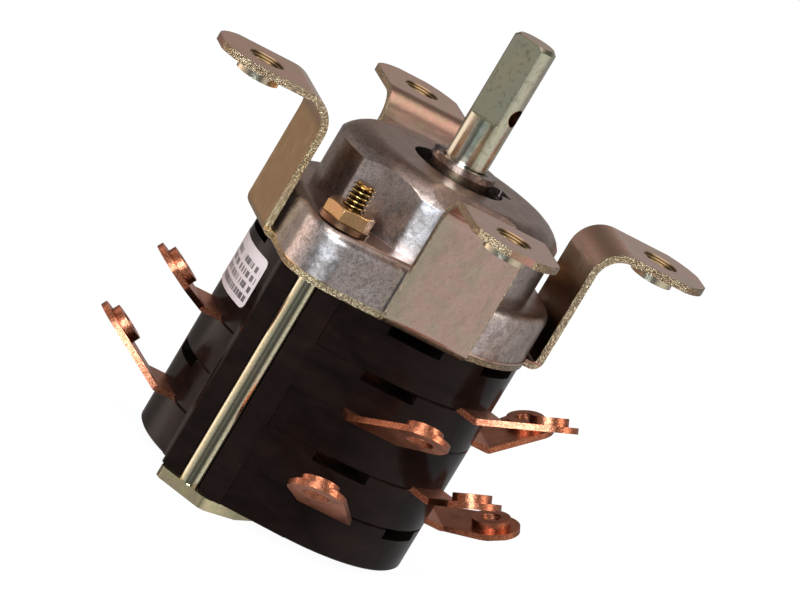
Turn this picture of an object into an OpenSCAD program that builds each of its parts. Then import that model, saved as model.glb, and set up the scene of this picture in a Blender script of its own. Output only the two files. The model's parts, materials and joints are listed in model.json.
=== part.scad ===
// Multi-deck rotary switch: tall shaft, round die-cast index housing, four-armed
// sheet-steel mounting spider, five moulded decks clamped by two tie rods, and
// eight upturned copper screw terminals.
//
// Frame: +Z runs up the shaft, z = 0 is the top of the four mounting tabs,
// the axis of the shaft is x = y = 0, and the arms lie on +X, -X, +Y and -Y.
// The tie rods stand on the diagonal that runs from (-X,-Y) to (+X,+Y).

/* [Shaft] */
// diameter of the round shaft
shaft_d = 9.525; // [6:0.025:12]
// height of the shaft end above the mounting tabs
shaft_top = 28.7; // [20:0.1:40]
// depth of the milled flat
flat_depth = 1.59; // [0.5:0.01:3]
// height at which the milled flat starts
flat_from = 10; // [4:0.1:16]
// diameter of the cross hole
cross_hole_d = 3.97; // [2:0.01:5]
// height of the cross hole
cross_hole_z = 13.1; // [8:0.1:20]
// bevel round the shaft end
shaft_bevel = 0.8; // [0.2:0.1:1.5]

/* [Index housing] */
// radius of the domed part
dome_r = 25.4; // [20:0.1:30]
// height of the flat dome top
dome_top = -2.85; // [-5:0.05:-1]
// radius of the flat dome top
dome_flat_r = 18.4; // [15:0.1:24]
// height of the crease between the rounded shoulder and the upright wall
dome_crease_z = -6.6; // [-9:0.1:-5]
// distance from the axis of the flat that clears each tie nut
nut_flat = 24.3; // [20:0.1:26]
// height of the shoulder the tie nuts sit on
shoulder_z = -18.2; // [-22:0.1:-15]
// half width of the square flange
flange_half = 31; // [28:0.1:34]
// corner radius at the two tie-rod corners
lobe_corner_r = 9; // [6:0.5:14]
// corner radius at the two plain corners
plain_corner_r = 31; // [20:0.5:31]
// rounding along the top edge of the flange
flange_round = 2.6; // [0.5:0.1:3]
// radius of the round recess in the dome top
recess_r = 10.3; // [8:0.1:14]
// depth of the round recess
recess_depth = 2.4; // [1:0.1:4]
// width of the notch beside the recess
notch_w = 5.4; // [3:0.1:8]
// reach of the notch from the axis
notch_reach = 12.6; // [11:0.1:15]
// distance of the straight front edge of the dome top
front_edge_y = 18.3; // [16:0.1:22]

/* [Mounting spider] */
// sheet thickness
sheet_t = 1.6; // [1:0.05:2.5]
// width of each arm
arm_w = 19.6; // [14:0.5:26]
// distance of the outer leg face from the axis
leg_outer = 33.5; // [30:0.1:38]
// inner radius of the lower bend
low_bend_r = 0.9; // [0.5:0.1:3]
// inner radius of the upper bend
high_bend_r = 5.4; // [2:0.1:8]
// radius of the circle through the tab holes
tab_circle_r = 47.6; // [40:0.1:52]
// distance of the tab ends from the axis
tab_tip = 57.9; // [54:0.1:64]
// radius of the rounded tab end
tab_nose_r = 10.8; // [10:0.1:16]
// inner diameter of the tapped tab hole
tab_hole_d = 5.6; // [4:0.1:7]
// outer diameter of the drawn collar under the tab
tab_collar_d = 9.4; // [8:0.1:12]
// length of the drawn collar under the tab
tab_collar_h = 2.4; // [1:0.1:4]
// diameter of the flared entry of the tab hole
tab_flare_d = 8.2; // [6:0.1:9]

/* [Decks] */
// radius of the moulded decks
deck_r = 30.8; // [28:0.1:34]
// height of the underside of the spider plate, where the decks start
stack_top = -30.5; // [-34:0.1:-28]
// thickness of the top deck
top_deck_h = 10.8; // [8:0.1:12]
// thickness of each lower deck
deck_h = 9.6; // [8:0.1:12]
// distance of the flat rod-corner face from the axis
lug_face = 34.2; // [32:0.1:36]
// half width of the rod corner
lug_half = 8; // [6:0.1:10]
// radius of the hollow that runs from the body into one side of the rod corner
lug_fillet = 5; // [2:0.1:6]
// depth of the step in the rod corner's flank on every second deck
flank_step = 0.7; // [0.2:0.1:3]
// radius of the round chamber in each deck
chamber_r = 21; // [18:0.1:24]
// depth of the chamber in each deck
chamber_depth = 6.6; // [5:0.1:8]
// width of the terminal slots
slot_w = 12.5; // [10:0.1:14]
// height of the open vent slots
vent_h = 2.2; // [1:0.1:3]
// bevel round the deck rims
deck_bevel = 0.3; // [0.1:0.05:0.6]

/* [Terminals] */
// thickness of the copper
copper_t = 1.3; // [0.8:0.05:2]
// width of the terminal where it leaves the deck
terminal_w = 12.3; // [10:0.1:14]
// depth of the terminals below each seam; the rest lies in the deck above
terminal_sink = 0.4; // [0.1:0.05:1.2]
// straight run outside the deck before the bend
terminal_run = 3.3; // [1:0.1:6]
// upward slope of the outer part in degrees
terminal_slope = 28.5; // [0:0.5:60]
// inner radius of the terminal bend
terminal_bend_r = 0.8; // [0.2:0.1:2]
// distance of the screw hole along the sloping part
terminal_hole_out = 10; // [8:0.1:18]
// sideways offset of the screw hole
terminal_hole_side = 6.5; // [0:0.1:9]
// radius of the rounded terminal end
terminal_nose_r = 6.1; // [5:0.1:8]
// inner diameter of the tapped terminal hole
terminal_hole_d = 4.1; // [3:0.1:5]
// outer diameter of the drawn terminal collar
terminal_collar_d = 8.1; // [6:0.1:9]
// height of the drawn terminal collar
terminal_collar_h = 1.7; // [0.5:0.05:3]

/* [Tie rods and bar] */
// diameter of the tie rods
rod_d = 4.8; // [4:0.1:6]
// distance of the tie rods from the axis
rod_circle_r = 33.56; // [30:0.1:36]
// height of the threaded rod ends
rod_top = -8.6; // [-12:0.1:-5]
// tie nut width across the flats
nut_af = 9.5; // [8:0.1:11]
// tie nut height
nut_h = 3.0; // [2.5:0.1:5]
// lock washer radius
lock_r = 5.6; // [4:0.1:6]
// lock washer thickness
lock_t = 1.2; // [0.8:0.1:2]
// thickness of the retaining bar
bar_t = 2.5; // [1.5:0.1:4]
// distance of the bar ends from the axis
bar_end = 36.2; // [34:0.1:40]
// half width of the bar ends
bar_nose_half = 6.4; // [4:0.1:9]
// half width of the bar in the middle
bar_mid_half = 9.6; // [6:0.1:12]

/* [Moving parts] */
// radius of the crests of the detent wheel
wheel_r = 14; // [10:0.1:17]
// number of detent valleys round the wheel
detent_count = 8; // [4:1:12]
// angle the shaft turns between its stops
travel = 90; // [45:45:270]
// radius of the detent rollers
roller_r = 2.4; // [1.5:0.1:3.5]
// radius of the moulded contact hubs
hub_r = 9; // [7:0.1:12]
// reach of the contact blades
blade_reach = 19.6; // [17:0.1:20.5]

/* [Label] */
// lower end of the label
label_low = -46; // [-60:0.1:-40]
// upper end of the label
label_high = -34.7; // [-38:0.1:-31]
// first edge of the label in degrees round the axis
label_from = 146; // [140:1:190]
// second edge of the label in degrees round the axis
label_to = 201.2; // [195:1:210]
// label thickness
label_t = 0.12; // [0.1:0.01:0.3]

/* [Hidden] */
$fn = 64;
eps = 0.01;
fit = 0.05;
shaft_r = shaft_d / 2;
leg_inner = leg_outer - sheet_t;
plate_top = stack_top + sheet_t;
seam_a = stack_top - top_deck_h;
seam_b = seam_a - deck_h;
seam_c = seam_b - deck_h;
seam_d = seam_c - deck_h;
stack_low = seam_d - deck_h;
rod_r = rod_d / 2;
recess_floor = dome_top - recess_depth;
notch_turn = 12;
notch_step = 0.9;
front_from = -13.5;
front_len = 23;
front_slope = 29;
crease_angle = 30;
edge_steps = 11.25;
cavity_r = 14.6;
wheel_top = -13;
wheel_t = 5;
cavity_top = wheel_top + 0.2;
bush_r = 6.4;
bush_top = -1.65;
bush_low = cavity_top;
washer_r = 7.2;
washer_t = 0.5;
washer_top = bush_top + washer_t;
ring_t = 0.9;
ring_r = 7.4;
ring_inner_r = 5.5;
ring_turn = 170;
ring_gap = 6;
ring_lug_w = 3.2;
ring_low = washer_top + fit;
ring_top = ring_low + ring_t;
groove_r = 4.1;
core_half = 3.6;
core_corner_r = 4.75;
core_top = -31.5;
core_low = stack_low + 0.8;
core_bore_r = 5.6;
valley_r = 3.2;
valley_centre = wheel_r + 1.2;
roller_len = 4.4;
roller_centre = wheel_r + roller_r + fit;
pocket_half = roller_r + fit;
pocket_reach = 23.4;
spring_wire_r = 0.4;
spring_pitch = 0.75;
spring_mean_r = 1.6;
stop_top = -19.5;
stop_t = 4;
stop_hub_r = 8;
stop_r = cavity_r - 0.4;
stop_arc = 60;
stop_slack = 1;
stop_rib_inner = stop_hub_r + 0.6;
rib_arc = 360 - travel - stop_arc - 2 * stop_slack;
stop_first = 195;
rod_low = stack_low - bar_t;
nut_turn = 14;
split_turn = 205;
split_w = 0.8;
corner_turn = 315;
blade_span = 110;
lug_bevel = 0.8;
flank_dip = 2;
rod_slot_half = rod_r + 0.15;
hub_gap = 0.2;
terminal_inner = 15.5;
bend_x = deck_r + terminal_run;

// Shared shapes

module at_rods() {
    for (a = [45, 225])
        rotate([0, 0, a]) translate([rod_circle_r, 0, 0]) children();
}

module ring(outer, inner, low, high) {
    translate([0, 0, low]) difference() {
        cylinder(h = high - low, r = outer);
        translate([0, 0, -1]) cylinder(h = high - low + 2, r = inner);
    }
}

// Square plan with two tight corners at the tie rods and two wide ones.
module flange_plan(half) {
    near = half - lobe_corner_r;
    wide = half - plain_corner_r;
    for (a = [0, 180])
        rotate([0, 0, a]) {
            translate([0, -wide]) square([half, wide + near]);
            translate([-wide, 0]) square([near + wide, half]);
            translate([near, near]) circle(r = lobe_corner_r);
            translate([wide, -wide]) circle(r = plain_corner_r);
        }
}

// Upright section whose outer upper edge is rounded.
module edge_section(reach, round_r, low, high) {
    polygon(concat(
        [[0, low], [reach, low]],
        [for (a = [0:edge_steps:90])
            [reach - round_r + round_r * cos(a),
             high - round_r + round_r * sin(a)]],
        [[0, high]]));
}

// The flange plan as a slab with a rounded upper edge.
module soft_flange(half, round_r, low, high) {
    near = half - lobe_corner_r;
    wide = half - plain_corner_r;
    for (a = [0, 180])
        rotate([0, 0, a]) {
            for (m = [0, 1])
                mirror([m, -m, 0]) translate([0, near, 0])
                    rotate([90, 0, 0]) linear_extrude(near + wide)
                        edge_section(half, round_r, low, high);
            translate([near, near, 0]) rotate_extrude()
                edge_section(lobe_corner_r, round_r, low, high);
            translate([wide, -wide, 0]) rotate_extrude()
                edge_section(plain_corner_r, round_r, low, high);
        }
}

// A wedge of a flat ring between two angles.
module arc_block(outer, inner, low, high, from, span) {
    rotate([0, 0, from]) translate([0, 0, low])
        rotate_extrude(angle = span)
            translate([inner, 0]) square([outer - inner, high - low]);
}

// Shaft and its retaining parts

module shaft() {
    color([0.62, 0.61, 0.52])
    difference() {
        union() {
            translate([0, 0, shaft_top - shaft_bevel])
                cylinder(h = shaft_bevel, r1 = shaft_r,
                    r2 = shaft_r - shaft_bevel);
            translate([0, 0, ring_top + fit])
                cylinder(h = shaft_top - shaft_bevel - ring_top - fit,
                    r = shaft_r);
            translate([0, 0, ring_low - fit])
                cylinder(h = ring_t + 2 * fit, r = groove_r);
            translate([0, 0, core_top])
                cylinder(h = ring_low - fit - core_top, r = shaft_r);
            translate([0, 0, core_low]) intersection() {
                translate([-core_half, -core_half, 0])
                    cube([2 * core_half, 2 * core_half,
                        core_top - core_low]);
                cylinder(h = core_top - core_low, r = core_corner_r);
            }
        }
        rotate([0, 0, 225])
            translate([shaft_r - flat_depth, -shaft_r, flat_from])
                cube([shaft_d, shaft_d, shaft_top]);
        translate([0, 0, cross_hole_z]) rotate([0, 0, 315])
            rotate([0, 90, 0])
                cylinder(h = 2 * shaft_d, d = cross_hole_d, center = true);
    }
}

// Open ring with three inner lugs that sit in the shaft groove.
module retaining_ring() {
    color([0.45, 0.40, 0.34])
    translate([0, 0, ring_low]) rotate([0, 0, ring_turn])
        difference() {
            union() {
                difference() {
                    cylinder(h = ring_t, r = ring_r);
                    translate([0, 0, -1])
                        cylinder(h = ring_t + 2, r = ring_inner_r);
                }
                for (a = [60, 180, 300])
                    rotate([0, 0, a])
                        translate([groove_r, -ring_lug_w / 2, 0])
                            cube([ring_r - groove_r - 1, ring_lug_w,
                                ring_t]);
            }
            translate([groove_r, -ring_gap / 2, -1])
                cube([ring_r, ring_gap, ring_t + 2]);
            translate([0, 0, -1])
                cylinder(h = ring_t + 2, r = groove_r);
        }
}

module thrust_washer() {
    color([0.50, 0.44, 0.36])
        ring(washer_r, shaft_r + 0.1, bush_top, washer_top);
}

module shaft_bushing() {
    color([0.52, 0.42, 0.28])
        ring(bush_r, shaft_r + fit, bush_low, bush_top);
}

// Index housing with its detent and stop

module dome() {
    high = (dome_top - dome_crease_z) / (1 - sin(crease_angle));
    wide = (dome_r - dome_flat_r) / cos(crease_angle);
    difference() {
        rotate_extrude($fn = 96)
            polygon(concat(
                [[0, plate_top], [dome_r, plate_top]],
                [for (a = [crease_angle:10:90])
                    [dome_flat_r + wide * cos(a),
                     dome_top - high + high * sin(a)]],
                [[0, dome_top]]));
        for (a = [45, 225])
            rotate([0, 0, a]) translate([nut_flat, -dome_r, shoulder_z])
                cube([dome_r, 2 * dome_r, -shoulder_z]);
    }
}

module index_housing() {
    color([0.55, 0.53, 0.51])
    difference() {
        union() {
            soft_flange(flange_half, flange_round, plate_top, shoulder_z);
            dome();
        }
        translate([0, 0, recess_floor]) cylinder(h = 9, r = recess_r);
        translate([0, 0, cavity_top - 1]) cylinder(h = 20, r = bush_r);
        translate([0, 0, plate_top - 1])
            difference() {
                cylinder(h = cavity_top - plate_top + 1, r = cavity_r);
                arc_rib();
            }
        rotate([0, 0, notch_turn])
            translate([0, -notch_w / 2, recess_floor + notch_step])
                cube([notch_reach, notch_w, 9]);
        translate([front_from, -front_edge_y, dome_top])
            rotate([front_slope, 0, 0]) translate([0, -dome_r, 0])
                cube([front_len, dome_r, dome_r]);
        for (a = [0, 180])
            rotate([0, 0, a])
                translate([0, -pocket_half, wheel_top - wheel_t - 0.2])
                    cube([pocket_reach, 2 * pocket_half, wheel_t + 0.4]);
        at_rods() translate([0, 0, plate_top - 1])
            cylinder(h = 20, r = rod_r + 0.1);
    }
}

// Rib left standing in the housing wall; it stops the disc both ways.
module arc_rib() {
    arc_block(cavity_r + 1, stop_rib_inner, stop_top - stop_t - plate_top,
        stop_top - plate_top + 2,
        stop_first + travel + stop_arc + stop_slack, rib_arc);
}

module detent_wheel() {
    color([0.48, 0.46, 0.44])
    translate([0, 0, wheel_top - wheel_t]) difference() {
        cylinder(h = wheel_t, r = wheel_r);
        translate([0, 0, -1]) cylinder(h = wheel_t + 2, r = shaft_r);
        for (i = [0:detent_count - 1])
            rotate([0, 0, i * 360 / detent_count])
                translate([valley_centre, 0, -1])
                    cylinder(h = wheel_t + 2, r = valley_r);
    }
}

module stop_disc() {
    color([0.46, 0.44, 0.42])
    difference() {
        translate([0, 0, stop_top - stop_t])
            cylinder(h = stop_t, r = stop_r);
        arc_block(stop_r + 1, stop_hub_r, stop_top - stop_t - 1,
            stop_top + 1, stop_first + stop_arc, 360 - stop_arc);
        translate([0, 0, stop_top - stop_t - 1])
            cylinder(h = stop_t + 2, r = shaft_r);
    }
}

module detent_roller() {
    color([0.60, 0.59, 0.57])
    translate([roller_centre, 0,
            wheel_top - wheel_t / 2 - roller_len / 2])
        cylinder(h = roller_len, r = roller_r);
}

module detent_roller_a() {
    detent_roller();
}

module detent_roller_b() {
    rotate([0, 0, 180]) detent_roller();
}

// Close-wound compression springs behind the rollers.
module detent_springs() {
    first = roller_centre + roller_r + spring_wire_r + fit;
    turns = floor((pocket_reach - spring_wire_r - first) / spring_pitch);
    color([0.55, 0.52, 0.44])
    for (a = [0, 180])
        rotate([0, 0, a]) translate([first, 0, wheel_top - wheel_t / 2])
            rotate([0, 90, 0])
                for (i = [0:turns])
                    translate([0, 0, i * spring_pitch])
                        rotate_extrude($fn = 24)
                            translate([spring_mean_r, 0])
                                circle(r = spring_wire_r, $fn = 13);
}

// Mounting spider

module arm_section() {
    low_out = low_bend_r + sheet_t;
    high_out = high_bend_r + sheet_t;
    low_x = leg_inner - low_bend_r;
    low_z = plate_top + low_bend_r;
    high_x = leg_outer + high_bend_r;
    high_z = -sheet_t - high_bend_r;
    translate([0, stack_top]) square([low_x, sheet_t]);
    intersection() {
        translate([low_x, low_z]) difference() {
            circle(r = low_out);
            circle(r = low_bend_r);
        }
        translate([low_x, low_z - low_out]) square(low_out);
    }
    translate([leg_inner, low_z]) square([sheet_t, high_z - low_z]);
    intersection() {
        translate([high_x, high_z]) difference() {
            circle(r = high_out);
            circle(r = high_bend_r);
        }
        translate([high_x - high_out, high_z]) square(high_out);
    }
    translate([high_x, -sheet_t])
        square([tab_tip - high_x, sheet_t]);
}

module arm() {
    difference() {
        union() {
            translate([0, arm_w / 2, 0]) rotate([90, 0, 0])
                linear_extrude(arm_w) arm_section();
            translate([tab_circle_r, 0, -sheet_t - tab_collar_h])
                cylinder(h = tab_collar_h + eps, d = tab_collar_d);
        }
        translate([tab_circle_r, -arm_w, -2 * sheet_t]) difference() {
            cube([2 * tab_nose_r, 2 * arm_w, 3 * sheet_t]);
            translate([0, arm_w, -1])
                cylinder(h = 9, r = tab_nose_r, $fn = 96);
        }
        translate([tab_circle_r, 0, -sheet_t - tab_collar_h - 1])
            cylinder(h = 9, d = tab_hole_d);
        translate([tab_circle_r, 0, -1.4])
            cylinder(h = 1.4 + eps, d1 = tab_hole_d, d2 = tab_flare_d);
    }
}

module mounting_spider() {
    color([0.62, 0.55, 0.44])
    difference() {
        union() {
            translate([0, 0, stack_top]) linear_extrude(sheet_t)
                flange_plan(flange_half - 0.2);
            for (a = [0:90:270])
                rotate([0, 0, a]) arm();
        }
        translate([0, 0, stack_top - 1]) cylinder(h = 5, r = 7);
        at_rods() translate([0, 0, stack_top - 1])
            cylinder(h = 5, r = rod_r + 0.1);
    }
}

// Moulded decks

module lug_plan(flush) {
    side_u = lug_face - lug_bevel - (flush ? 0 : flank_step);
    reach = sqrt(side_u * side_u + lug_half * lug_half);
    turn = atan2(lug_half, side_u) + acos(deck_r / reach) + flank_dip;
    root = [sqrt((deck_r + lug_fillet) ^ 2 - (lug_half + lug_fillet) ^ 2),
        -lug_half - lug_fillet];
    for (a = [45, 225])
        rotate([0, 0, a]) {
            polygon([[0, -lug_half], [lug_face - lug_bevel, -lug_half],
                [lug_face, lug_bevel - lug_half],
                [lug_face, lug_half - lug_bevel],
                [lug_face - lug_bevel, lug_half], [0, lug_half]]);
            difference() {
                polygon([[0, 0], root * deck_r / (deck_r + lug_fillet),
                    root, [root[0], -lug_half]]);
                translate(root) circle(r = lug_fillet);
            }
            polygon([[0, 0], [side_u, 0], [side_u, lug_half],
                [deck_r * cos(turn), deck_r * sin(turn)]]);
        }
}

// One deck: a round cup with a rod corner at each end of the diagonal.
module deck(top, high, flush, slots, slot_h, roof_slots) {
    low = top - high;
    difference() {
        union() {
            rotate_extrude($fn = 96)
                polygon([[0, low], [deck_r - deck_bevel, low],
                    [deck_r, low + deck_bevel],
                    [deck_r, top - deck_bevel],
                    [deck_r - deck_bevel, top], [0, top]]);
            translate([0, 0, low]) linear_extrude(high)
                lug_plan(flush);
        }
        translate([0, 0, top - chamber_depth])
            cylinder(h = chamber_depth + 1, r = chamber_r);
        translate([0, 0, low - 1])
            cylinder(h = high + 2, r = core_bore_r);
        at_rods() {
            translate([0, 0, low - 1])
                cylinder(h = high + 2, r = rod_slot_half);
            translate([0, -rod_slot_half, low - 1])
                cube([9, 2 * rod_slot_half, high + 2]);
        }
        for (i = [0:len(slots) - 1])
            rotate([0, 0, slots[i]])
                translate([0, -slot_w / 2, top - slot_h[i]])
                    cube([deck_r + 9, slot_w, slot_h[i] + 1]);
        for (a = roof_slots)
            rotate([0, 0, a])
                translate([terminal_inner, -slot_w / 2, low - 1])
                    cube([deck_r, slot_w,
                        copper_t - terminal_sink + 1]);
    }
}

module deck_1() {
    color([0.09, 0.07, 0.07])
        deck(stack_top, top_deck_h, false,
            [0, 90, 135, 180, 270, 315],
            [vent_h, vent_h, vent_h, vent_h, vent_h, vent_h],
            [315]);
}

module deck_2() {
    color([0.09, 0.07, 0.07])
        deck(seam_a, deck_h, true,
            [0, 90, 135, 180, 270, 315],
            [vent_h, vent_h, vent_h, vent_h, vent_h, terminal_sink],
            [0, 180, 270]);
}

module deck_3() {
    color([0.09, 0.07, 0.07])
        deck(seam_b, deck_h, false,
            [0, 90, 180, 270],
            [terminal_sink, vent_h, terminal_sink, terminal_sink],
            [315]);
}

module deck_4() {
    color([0.09, 0.07, 0.07])
        deck(seam_c, deck_h, true,
            [0, 90, 135, 180, 270, 315],
            [vent_h, vent_h, vent_h, vent_h, vent_h, terminal_sink],
            [0, 180, 270]);
}

module deck_5() {
    color([0.09, 0.07, 0.07])
        deck(seam_d, deck_h, false,
            [0, 90, 180, 270, 315],
            [terminal_sink, vent_h, terminal_sink, terminal_sink,
                vent_h],
            []);
}

// Screw terminals

// Side view of the bent strip; the bend's centre is at x = bend_x, z = 0.
module strip_section() {
    outer = terminal_bend_r + copper_t;
    run = terminal_hole_out + 2 * terminal_nose_r;
    sweep = [for (i = [0:4]) i * terminal_slope / 4];
    polygon(concat(
        [[terminal_inner, -outer]],
        [for (a = sweep) [bend_x + outer * sin(a), -outer * cos(a)]],
        [for (r = [outer, terminal_bend_r])
            [bend_x + r * sin(terminal_slope) + run * cos(terminal_slope),
             run * sin(terminal_slope) - r * cos(terminal_slope)]],
        [for (i = [4:-1:0])
            [bend_x + terminal_bend_r * sin(sweep[i]),
             -terminal_bend_r * cos(sweep[i])]],
        [[terminal_inner, -terminal_bend_r]]));
}

// Outline of the whole strip, seen square to its sloping part.
module flap_plan(side) {
    translate([-2 * terminal_w, -terminal_w / 2])
        square([2 * terminal_w, terminal_w]);
    hull() {
        translate([-eps, -terminal_w / 2])
            square([eps, terminal_w]);
        translate([terminal_hole_out, side * terminal_hole_side])
            circle(r = terminal_nose_r, $fn = 40);
    }
}

module terminal(top, turn, side) {
    low = -copper_t - terminal_bend_r;
    color([0.72, 0.36, 0.22])
    rotate([0, 0, turn]) translate([0, 0, top - terminal_sink - low])
        difference() {
            union() {
                intersection() {
                    translate([0, terminal_w, 0]) rotate([90, 0, 0])
                        linear_extrude(2 * terminal_w) strip_section();
                    on_flap() linear_extrude(4 * terminal_w, center = true)
                        flap_plan(side);
                }
                on_flap() at_hole(side) translate([0, 0, copper_t / 2])
                    cylinder(h = copper_t / 2 + terminal_collar_h,
                        d = terminal_collar_d);
            }
            on_flap() at_hole(side) {
                translate([0, 0, -1]) cylinder(h = 9, d = terminal_hole_d);
                translate([0, 0, -0.1])
                    cylinder(h = 1, d1 = terminal_hole_d + 2,
                        d2 = terminal_hole_d);
            }
        }
}

module on_flap() {
    translate([bend_x, 0, 0]) rotate([0, -terminal_slope, 0])
        translate([0, 0, -copper_t - terminal_bend_r]) children();
}

module at_hole(side) {
    translate([terminal_hole_out, side * terminal_hole_side, 0]) children();
}

module terminal_corner_upper() {
    terminal(seam_a, corner_turn, 1);
}

module terminal_left_upper() {
    terminal(seam_b, 180, 1);
}

module terminal_front_upper() {
    terminal(seam_b, 270, 1);
}

module terminal_right_upper() {
    terminal(seam_b, 0, 1);
}

module terminal_corner_lower() {
    terminal(seam_c, corner_turn, -1);
}

module terminal_left_lower() {
    terminal(seam_d, 180, -1);
}

module terminal_front_lower() {
    terminal(seam_d, 270, -1);
}

module terminal_right_lower() {
    terminal(seam_d, 0, -1);
}

// Contact hubs and blades, one pair in each contact deck

module contact_hub(top) {
    color([0.16, 0.12, 0.10])
    translate([0, 0, top - chamber_depth + hub_gap]) difference() {
        cylinder(h = chamber_depth - 2 * hub_gap, r = hub_r);
        translate([-core_half, -core_half, -1])
            cube([2 * core_half, 2 * core_half, chamber_depth + 2]);
    }
}

module contact_blade(top, from, span) {
    high = top - terminal_sink - fit;
    color([0.70, 0.40, 0.25])
        arc_block(blade_reach, hub_r, high - copper_t, high, from, span);
}

module contact_hub_2() {
    contact_hub(seam_a);
}

module contact_hub_3() {
    contact_hub(seam_b);
}

module contact_hub_4() {
    contact_hub(seam_c);
}

module contact_hub_5() {
    contact_hub(seam_d);
}

module contact_blade_2() {
    contact_blade(seam_a, 215, blade_span);
}

module contact_blade_3() {
    contact_blade(seam_b, 170, blade_span);
}

module contact_blade_4() {
    contact_blade(seam_c, 215, blade_span);
}

module contact_blade_5() {
    contact_blade(seam_d, 170, blade_span);
}

// Tie rods, nuts, washers and the bar

module tie_rods() {
    color([0.66, 0.62, 0.46])
    at_rods() {
        translate([0, 0, rod_low])
            cylinder(h = shoulder_z - rod_low, r = rod_r);
        translate([0, 0, shoulder_z])
            cylinder(h = rod_top - 0.5 - shoulder_z, r = rod_r);
        translate([0, 0, rod_top - 0.5])
            cylinder(h = 0.5, r1 = rod_r, r2 = rod_r - 0.5);
    }
}

module tie_nuts() {
    seat_z = shoulder_z + lock_t;
    corner_r = nut_af / sqrt(3);
    face_r = nut_af / 2 - 0.35;
    color([0.74, 0.58, 0.38])
    at_rods() translate([0, 0, seat_z]) difference() {
        intersection() {
            rotate([0, 0, nut_turn])
                cylinder(h = nut_h, r = corner_r, $fn = 6);
            cylinder(h = nut_h, r1 = face_r + nut_h * tan(60),
                r2 = face_r);
        }
        translate([0, 0, -1]) cylinder(h = nut_h + 2, r = rod_r);
    }
}

module lock_washers() {
    color([0.50, 0.40, 0.27])
    at_rods() translate([0, 0, shoulder_z]) difference() {
        cylinder(h = lock_t, r = lock_r);
        translate([0, 0, -1]) cylinder(h = lock_t + 2, r = rod_r);
        rotate([0, 0, split_turn]) translate([0, -split_w / 2, -1])
            cube([9, split_w, lock_t + 2]);
    }
}

module retaining_bar() {
    shoulder_p = 27;
    corner = 1;
    quarter = [[shoulder_p, bar_mid_half],
        [bar_end - corner, bar_nose_half + 0.3],
        [bar_end, bar_nose_half - corner]];
    color([0.64, 0.63, 0.50])
    translate([0, 0, rod_low]) rotate([0, 0, 45]) difference() {
        linear_extrude(bar_t)
            polygon(concat(quarter,
                [for (i = [2:-1:0]) [quarter[i][0], -quarter[i][1]]],
                [for (q = quarter) [-q[0], -q[1]]],
                [for (i = [2:-1:0]) [-quarter[i][0], quarter[i][1]]]));
        for (m = [-1, 1])
            translate([m * rod_circle_r, 0, -1])
                cylinder(h = bar_t + 2, r = rod_r);
    }
}

// Thin sticker wrapped round the two upper decks.
module rating_label() {
    color([0.80, 0.74, 0.74])
        arc_block(deck_r + label_t, deck_r, label_low, label_high,
            label_from, label_to - label_from);
}

// The switch

shaft();
retaining_ring();
thrust_washer();
shaft_bushing();
index_housing();
detent_wheel();
stop_disc();
detent_roller_a();
detent_roller_b();
detent_springs();
mounting_spider();
deck_1();
deck_2();
deck_3();
deck_4();
deck_5();
terminal_corner_upper();
terminal_left_upper();
terminal_front_upper();
terminal_right_upper();
terminal_corner_lower();
terminal_left_lower();
terminal_front_lower();
terminal_right_lower();
contact_hub_2();
contact_hub_3();
contact_hub_4();
contact_hub_5();
contact_blade_2();
contact_blade_3();
contact_blade_4();
contact_blade_5();
tie_rods();
tie_nuts();
lock_washers();
retaining_bar();
rating_label();
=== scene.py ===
"""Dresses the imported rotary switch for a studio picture."""
import json
import math

import bmesh
import bpy
from mathutils import Matrix, Vector


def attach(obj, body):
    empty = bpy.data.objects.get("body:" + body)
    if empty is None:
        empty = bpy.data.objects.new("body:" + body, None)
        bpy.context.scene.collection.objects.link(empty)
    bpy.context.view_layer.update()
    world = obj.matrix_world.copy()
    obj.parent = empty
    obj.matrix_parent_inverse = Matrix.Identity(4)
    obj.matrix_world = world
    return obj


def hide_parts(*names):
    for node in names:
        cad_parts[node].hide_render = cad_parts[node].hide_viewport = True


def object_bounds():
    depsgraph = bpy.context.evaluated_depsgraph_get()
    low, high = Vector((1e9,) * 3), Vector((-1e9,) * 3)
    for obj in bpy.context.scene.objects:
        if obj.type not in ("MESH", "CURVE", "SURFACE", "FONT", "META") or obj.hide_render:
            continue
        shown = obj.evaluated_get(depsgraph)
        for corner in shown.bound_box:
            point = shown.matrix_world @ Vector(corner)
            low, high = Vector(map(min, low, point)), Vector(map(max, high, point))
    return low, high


MM = 0.001

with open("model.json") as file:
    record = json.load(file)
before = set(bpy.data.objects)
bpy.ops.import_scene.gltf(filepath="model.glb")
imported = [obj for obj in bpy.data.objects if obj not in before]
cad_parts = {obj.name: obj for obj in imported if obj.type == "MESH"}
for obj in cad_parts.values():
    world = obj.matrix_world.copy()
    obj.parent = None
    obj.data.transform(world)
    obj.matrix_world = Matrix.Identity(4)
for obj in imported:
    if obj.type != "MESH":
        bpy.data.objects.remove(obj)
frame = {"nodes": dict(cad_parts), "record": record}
NODES = frame["nodes"]
CAD_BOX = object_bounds()
SLOTS = {row["node"]: row["material_slot"]
         for row in frame["record"]["subparts"]}

# Camera: where the photograph was taken from, in degrees and metres.
AZIMUTH = -19.37
ELEVATION = 10.44
ROLL = 30.87
DISTANCE = 1.2346
FOCAL_PIXELS = 6069
IMAGE_SIZE = (800, 600)
AXIS_PIXEL = (466.0, 161.5)

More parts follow.
